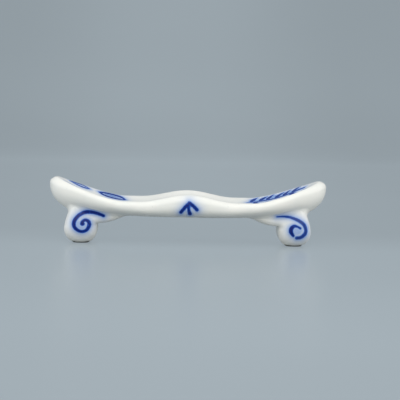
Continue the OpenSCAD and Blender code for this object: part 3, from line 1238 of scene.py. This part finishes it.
    def keep_lowest(self) -> None:
        """Drops what the cut leaves above the bar."""
        work = bmesh.new()
        work.from_mesh(self.piece.data)
        work.verts.ensure_lookup_table()
        seen: set[int] = set()
        islands = []
        for start in work.verts:
            if start.index in seen:
                continue
            island, todo = [], [start]
            seen.add(start.index)
            while todo:
                vert = todo.pop()
                island.append(vert)
                for edge in vert.link_edges:
                    other = edge.other_vert(vert)
                    if other.index not in seen:
                        seen.add(other.index)
                        todo.append(other)
            islands.append(island)
        lowest = min(islands, key=lambda island: min(v.co.z for v in island))
        for island in islands:
            if island is not lowest:
                bmesh.ops.delete(work, geom=island, context="VERTS")
        work.to_mesh(self.piece.data)
        work.free()

    def dress(self, brush: Brushwork, glaze: bpy.types.Material, seam: bpy.types.Object) -> None:
        """Paints the foot's coil on its front and back faces, and on over the seam.

        Args:
            brush: the brushwork.
            glaze: the foot's material.
            seam: the finished seam over the foot.
        """
        axis = self.end.value * self.axis / MM
        coil = brush.left_coil() if self.end is End.LEFT else brush.right_coil()
        front = [s.moved(axis, 0) for s in coil]
        lines, pools = front + [s.on(Sheet.BACK) for s in front], brush.pools(axis, self.end)
        brush.paint(self.piece, lines, pools, glaze)
        brush.paint(seam, lines, pools, seam.data.materials[0], brush.seam_tilt)


@dataclass
class SlipSeam:
    """The slip that lutes a foot to the bar, wiped to a fillet all round the joint."""

    name: str
    foot: ScrollFoot
    reach: float = 2.4 * MM
    tail_reach: float = 2.6 * MM
    tuck: float = 0.35 * MM
    touch_sink: float = 0.01 * MM
    tuck_sink: float = 0.05 * MM
    depth: float = 0.6 * MM
    turns: int = 420
    steps: int = 16
    evening: int = 60
    piece: bpy.types.Object | None = field(default=None, init=False)

    HALVINGS = 22
    WIDE_ANGLE_SHARE = 1.2
    HEART_LEAN = 0.2
    TINY = 1e-18

    def inside(self, out: float, up: float, across: float, outline: np.ndarray) -> bool:
        """Tells whether a place lies within the foot before it is cut.

        Args:
            out: distance outwards from the roll's axis.
            up: height.
            across: place from front to back.
            outline: the foot's full outline.

        Returns:
            True inside the foot.
        """
        a, b = outline, np.roll(outline, -1, axis=0)
        p = np.array([out, up])
        t = np.clip(((p - a) * (b - a)).sum(1) / np.maximum(((b - a) ** 2).sum(1), self.TINY), 0, 1)
        away = np.sqrt(((a + (b - a) * t[:, None] - p) ** 2).sum(1)).min()
        crosses = ((a[:, 1] > up) != (b[:, 1] > up)) & (
            out < (b[:, 0] - a[:, 0]) * (up - a[:, 1]) / (b[:, 1] - a[:, 1] + self.TINY) + a[:, 0])
        lean = 1 - min(1.0, away / self.foot.edge_draw)
        return bool(crosses.sum() % 2) and abs(across) < float(self.foot.half_width(p, lean))

    def corner_line(self, skin: BVHTree) -> list[Vector]:
        """Finds the line where the foot's sides meet the bar's underside.

        Args:
            skin: the bar's surface.

        Returns:
            Points of the closed line.
        """
        foot = self.foot
        outline = foot.outline(0)
        centre = (foot.neck_x - foot.tail_length) / 2
        line = []
        for k in range(self.turns):
            angle = TURN * k / self.turns
            way = Vector((math.cos(angle), math.sin(angle)))
            low, high = 0.0, foot.tail_length
            for _ in range(self.HALVINGS):
                middle = (low + high) / 2
                out, across = centre + way.x * middle, way.y * middle
                start = Vector((foot.end.value * (foot.axis + out), across, -1))
                hit = skin.ray_cast(start, Vector((0, 0, 1)))[0]
                if hit is not None and self.inside(out, hit.z, across, outline):
                    low, found = middle, hit
                else:
                    high = middle
            line.append(found)
        return line

    def evened(self, places: list[Vector]) -> list[Vector]:
        """Evens out a closed line of places, so that no two cross at the foot's corners.

        Args:
            places: the line's places.

        Returns:
            The evened places.
        """
        line = np.array(places)
        for _ in range(self.evening):
            line = (np.roll(line, 1, axis=0) + 2 * line + np.roll(line, -1, axis=0)) / 4
        return [Vector(p) for p in line]

    def contacts(self, skin: BVHTree) -> bpy.types.Object:
        """Finds, round the joint, where the fillet touches the foot and the bar.

        Args:
            skin: the bar's surface.

        Returns:
            An object with one point per place, which holds the fillet's control points.
        """
        corners = self.corner_line(skin)
        rows: dict[str, list[Vector]] = {name: [] for name in
                                         ("foot_tuck", "foot_touch", "bar_touch", "bar_tuck", "heart")}
        count = len(corners)
        for k, corner in enumerate(corners):
            along = (corners[(k + 1) % count] - corners[k - 1]).normalized()
            _, bar_out, _, _ = skin.find_nearest(corner)
            _, foot_out, _, _ = self.foot.uncut.find_nearest(corner - Vector((0, 0, self.tuck_sink)))
            down = foot_out.cross(along).normalized()
            down = down if down.dot(bar_out) > 0 else -down
            away = bar_out.cross(along).normalized()
            away = away if away.dot(foot_out) > 0 else -away
            open_angle = math.acos(max(-1.0, min(1.0, down.dot(away))))
            wider = max(0.0, open_angle / QUARTER - self.WIDE_ANGLE_SHARE)
            reach = self.reach + (self.tail_reach - self.reach) * wider
            for name, way in (("foot", down), ("bar", away)):
                rows[f"{name}_touch"].append(corner + way * reach)
                rows[f"{name}_tuck"].append(corner + way * (reach + self.tuck))
            inwards = (foot_out - bar_out * self.HEART_LEAN).normalized()
            rows["heart"].append(corner - inwards * self.depth)
        rows["heart"] = self.evened(rows["heart"])
        for name, surface in (("foot", self.foot.uncut), ("bar", skin)):
            for end, sink in (("touch", self.touch_sink), ("tuck", self.tuck_sink)):
                laid = (surface.find_nearest(p) for p in self.evened(rows[f"{name}_{end}"]))
                rows[f"{name}_{end}"] = [place - out * sink for place, out, _, _ in laid]
        mesh = bpy.data.meshes.new(f"{self.name}_line")
        mesh.from_pydata(corners, [], [])
        for name, places in rows.items():
            values = np.array([c for p in places for c in p], np.float32)
            mesh.attributes.new(name, "FLOAT_VECTOR", "POINT").data.foreach_set("vector", values)
        return new_object(f"{self.name}_line", mesh)

    def fillet_tree(self) -> Tree:
        """Makes the tree that sweeps the fillet round the joint.

        Returns:
            The tree. Its rows go from the foot over the hollow of the fillet to the bar,
            and back through the joint.
        """
        t = Tree.geometry("slip_fillet")
        line = t.input("Geometry", "Geometry")
        turns = t.input("Points Round", "Int", self.turns)
        steps = t.input("Fillet Steps", "Int", self.steps)
        merge = t.input("Merge Distance", "Float", self.foot.bar.merge)
        material = t.input("Material", "Material")
        way_back = ("bar_tuck", "heart", "foot_tuck")
        rows = steps + (len(way_back) + 1)
        grid, round_share, row_share = t.flat_grid(turns, rows)
        index = t.math("FLOORED_MODULO", t.math("ROUND", round_share * turns), turns)
        row = t.math("ROUND", row_share * rows)

        control = {name: t.sample(line, t.named(name, "FLOAT_VECTOR"), index, "FLOAT_VECTOR")
                   for name in ("foot_touch", "bar_touch", "foot_tuck", "bar_tuck", "heart")}
        start, end = control["foot_touch"], control["bar_touch"]
        corner = t.sample(line, t.position(), index, "FLOAT_VECTOR")
        s = t.clamp((row - 1) / steps)
        hollow = start * ((1 - s) * (1 - s)) + corner * (s * (1 - s) * 2) + end * (s * s)
        place = t.choose(t.less(row, 0.5), control["foot_tuck"], hollow, "VECTOR")
        for past, name in enumerate(way_back):
            place = t.choose(t.less(steps + (past + 1.5), row), control[name], place, "VECTOR")
        t.bend_grid(grid, place, merge, material)
        return t

    def build(self, skin: BVHTree, glaze: bpy.types.Material) -> None:
        """Makes the seam.

        Args:
            skin: the bar's surface.
            glaze: its material.
        """
        self.piece = self.contacts(skin)
        self.piece.name = self.name
        merge = self.foot.bar.merge
        run_tree(self.piece, self.fillet_tree(), {"Points Round": self.turns, "Fillet Steps": self.steps,
                                                  "Merge Distance": merge, "Material": glaze})
        tidy(self.piece, merge)


@dataclass(frozen=True)
class SoftBox:
    """A square soft box."""

    name: str
    place: Triple
    size: float
    power: float
    colour: Triple

    def hang(self, target: Vector) -> None:
        """Hangs the box so that it faces a target.

        Args:
            target: the place that it lights.
        """
        light = bpy.data.lights.new(self.name, "AREA")
        light.size = self.size
        light.energy = self.power
        light.color = self.colour
        made = new_object(self.name, light)
        made.location = self.place
        made.rotation_euler = (target - made.location).to_track_quat("-Z", "Y").to_euler()


@dataclass
class Sweep:
    """The pale blue-grey floor that curves up to a backdrop.

    Camera, glossy and transmission rays see its glow, which is painted lighter near and in front of the rest
    and up the rise, and darker towards the sides, as a pool of light. Limits are in metres from the rest.
    """

    half_width: float = 1.6
    front: float = -0.9
    bend: float = 0.45
    radius: float = 0.5
    rise: float = 0.9
    bend_steps: int = 24
    seen_colour: Colour = srgb(155, 166, 173)
    bounce: Colour = srgb(156, 164, 168)
    shade: Colour = srgb(70, 75, 78)
    roughness: float = 0.3
    shine: float = 0.12
    glow: float = 0.7
    level: float = 0.945
    clouds: Pair = (0.96, 1.04)
    cloud_scale: float = 6.0
    # Painted light: how much the glow is lifted near and in front of the rest and up the rise, and lowered
    # towards the sides.
    near_limits: Pair = (-0.02, 0.05)
    near_gain: float = 0.15
    front_limits: Pair = (-0.18, -0.05)
    front_gain: float = 0.1
    rise_limits: Pair = (0.47, 0.68)
    rise_gain: float = 0.23
    side_limits: Pair = (0.02, 0.15)
    side_loss: float = 0.11

    def material(self) -> bpy.types.Material:
        """Makes the satin finish.

        Returns:
            The material. The camera sees its glow, and the rest gets only its bounced light.
        """
        made, t = Tree.material("sweep")
        place = t.object_place()
        cloud = t.mix(*self.clouds, t.noise(place, self.cloud_scale, detail=3.0))
        x, y, _ = t.separate(place)
        # Painted light: the glow is lifted near and in front of the rest and up the rise, and lowered towards
        # the sides, as a pool of light.
        near, front = 1 - t.fade(y, *self.near_limits), 1 - t.fade(y, *self.front_limits)
        rise, sides = t.fade(y, *self.rise_limits), t.fade(t.math("ABSOLUTE", x), *self.side_limits)
        along = near * self.near_gain + front * self.front_gain + rise * self.rise_gain + self.level
        painted_light_gain = along * (1 - sides * self.side_loss)
        path = t.add("ShaderNodeLightPath")
        camera, glossy, through = (t.out(path, f"Is {ray} Ray")
                                   for ray in ("Camera", "Glossy", "Transmission"))
        seen = t.clamp(camera + glossy + through)
        shader = t.add("ShaderNodeBsdfPrincipled", {
            "Base Color": t.colour_mix(self.bounce, self.shade, seen), "Roughness": self.roughness,
            "Specular IOR Level": self.shine, "Emission Color": self.seen_colour,
            "Emission Strength": seen * cloud * painted_light_gain * self.glow})
        t.add("ShaderNodeOutputMaterial", {"Surface": t.out(shader)})
        return made

    def build(self) -> None:
        """Makes the sweep as one strip and stages it."""
        profile = [(self.front, 0.0), (self.bend, 0.0)]
        for k in range(1, self.bend_steps + 1):
            angle = QUARTER * k / self.bend_steps
            out, up = math.sin(angle), 1 - math.cos(angle)
            profile.append((self.bend + self.radius * out, self.radius * up))
        profile.append((self.bend + self.radius, self.radius + self.rise))
        places = [(x, y, z) for y, z in profile for x in (-self.half_width, self.half_width)]
        faces = [(2 * k, 2 * k + 1, 2 * k + 3, 2 * k + 2) for k in range(len(profile) - 1)]
        mesh = bpy.data.meshes.new("sweep")
        mesh.from_pydata(places, [], faces)
        mesh.polygons.foreach_set("use_smooth", [True] * len(mesh.polygons))
        mesh.materials.append(self.material())
        new_object("sweep", mesh)


@dataclass
class Studio:
    """The camera and the soft light round the rest."""

    target: Vector = field(default_factory=lambda: Vector((0, 0, 0.011)))
    distance: float = 0.490626
    azimuth: float = math.radians(0.981)
    elevation: float = math.radians(5.779)
    roll: float = math.radians(1.184)
    picture: float = 400.0
    focal_pixels: float = 1384.06
    target_pixel: Pair = (187.81, 212.67)
    sensor: float = 36.0
    clip_start: float = 0.01
    boxes: tuple[SoftBox, ...] = (
        SoftBox("key_box", (0.03, -0.55, 0.75), 0.8, 1.5, (1.0, 0.99, 0.95)),
        SoftBox("front_box", (0.02, -0.8, 0.3), 1.0, 4.2, (1.0, 0.99, 0.93)),
        SoftBox("left_box", (-0.8, -0.25, 0.32), 0.8, 2.6, (0.9, 0.96, 1.0)),
        SoftBox("right_box", (0.8, -0.25, 0.32), 0.8, 2.7, (1.0, 0.99, 0.97)),
        SoftBox("top_box", (0.0, 0.05, 0.9), 1.0, 1.05, (1.0, 0.99, 0.96)))
    room: Colour = srgb(205, 212, 218)
    room_strength: float = 0.59

    def camera(self) -> None:
        """Places the camera as the photograph was taken."""
        lens = bpy.data.cameras.new("camera")
        lens.sensor_width = self.sensor
        lens.lens = self.focal_pixels / self.picture * self.sensor
        lens.clip_start = self.clip_start
        made = new_object("camera", lens)
        flat = math.cos(self.elevation)
        back = Vector((-math.sin(self.azimuth) * flat, -math.cos(self.azimuth) * flat,
                       math.sin(self.elevation)))
        right = Vector((0, 0, 1)).cross(back).normalized()
        basis = Matrix((right, back.cross(right), back)).transposed()
        aside, lift = (math.atan((pixel - self.picture / 2) / self.focal_pixels)
                       for pixel in self.target_pixel)
        turned = Euler((lift, aside, 0)).to_matrix()
        rolled = Matrix.Rotation(self.roll, 3, "Z")
        place = Matrix.Translation(self.target + back * self.distance)
        made.matrix_world = place @ (basis @ rolled @ turned).to_4x4()
        bpy.context.scene.camera = made

    def light(self) -> None:
        """Lights the rest from above, from the front and from both sides."""
        bpy.context.scene.view_settings.view_transform = "Standard"
        for box in self.boxes:
            box.hang(self.target)
        world = bpy.data.worlds.new("studio")
        world.use_nodes = True
        background = world.node_tree.nodes["Background"]
        background.inputs["Color"].default_value = self.room
        background.inputs["Strength"].default_value = self.room_strength
        bpy.context.scene.world = world


def hand_over(piece: bpy.types.Object, node: str) -> None:
    """Puts a finished piece in the place of its node.

    Args:
        piece: the piece.
        node: the CAD node that it stands for.
    """
    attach(piece, BODY)
    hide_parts(node)
    LOG.info("%s stands for %s: %d faces", piece.name, node, len(piece.data.polygons))


def main() -> None:
    """Builds the knife rest and its studio."""
    logging.basicConfig(level=logging.INFO, format="%(name)s: %(message)s")
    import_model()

    surface, cobalt = GlazeSurface().group(), Cobalt().group()
    bar_glaze = Glaze("painted_bar_glaze", surface, cobalt).material()
    foot_glaze = Glaze("painted_foot_glaze", surface, cobalt, bare_foot=True).material()
    seam_glaze = Glaze("seam_glaze", surface, cobalt, roughness=0.11).material()
    brush = Brushwork()

    bar = Bar()
    bar.build(bar_glaze)
    skin = bar.skin()
    bar.dress(brush, bar_glaze)
    hand_over(bar.piece, "bar")

    for end in End:
        word = end.name.lower()
        foot = ScrollFoot(f"{word}_foot", end, bar)
        foot.build(foot_glaze)
        seam = SlipSeam(f"{word}_seam", foot)
        seam.build(skin, seam_glaze)
        foot.dress(brush, foot_glaze, seam.piece)
        hand_over(foot.piece, f"{word}_scroll_foot")
        hand_over(seam.piece, f"{word}_slip_seam")

    studio = Studio()
    studio.camera()
    Sweep().build()
    studio.light()


if __name__ == "__main__":
    main()
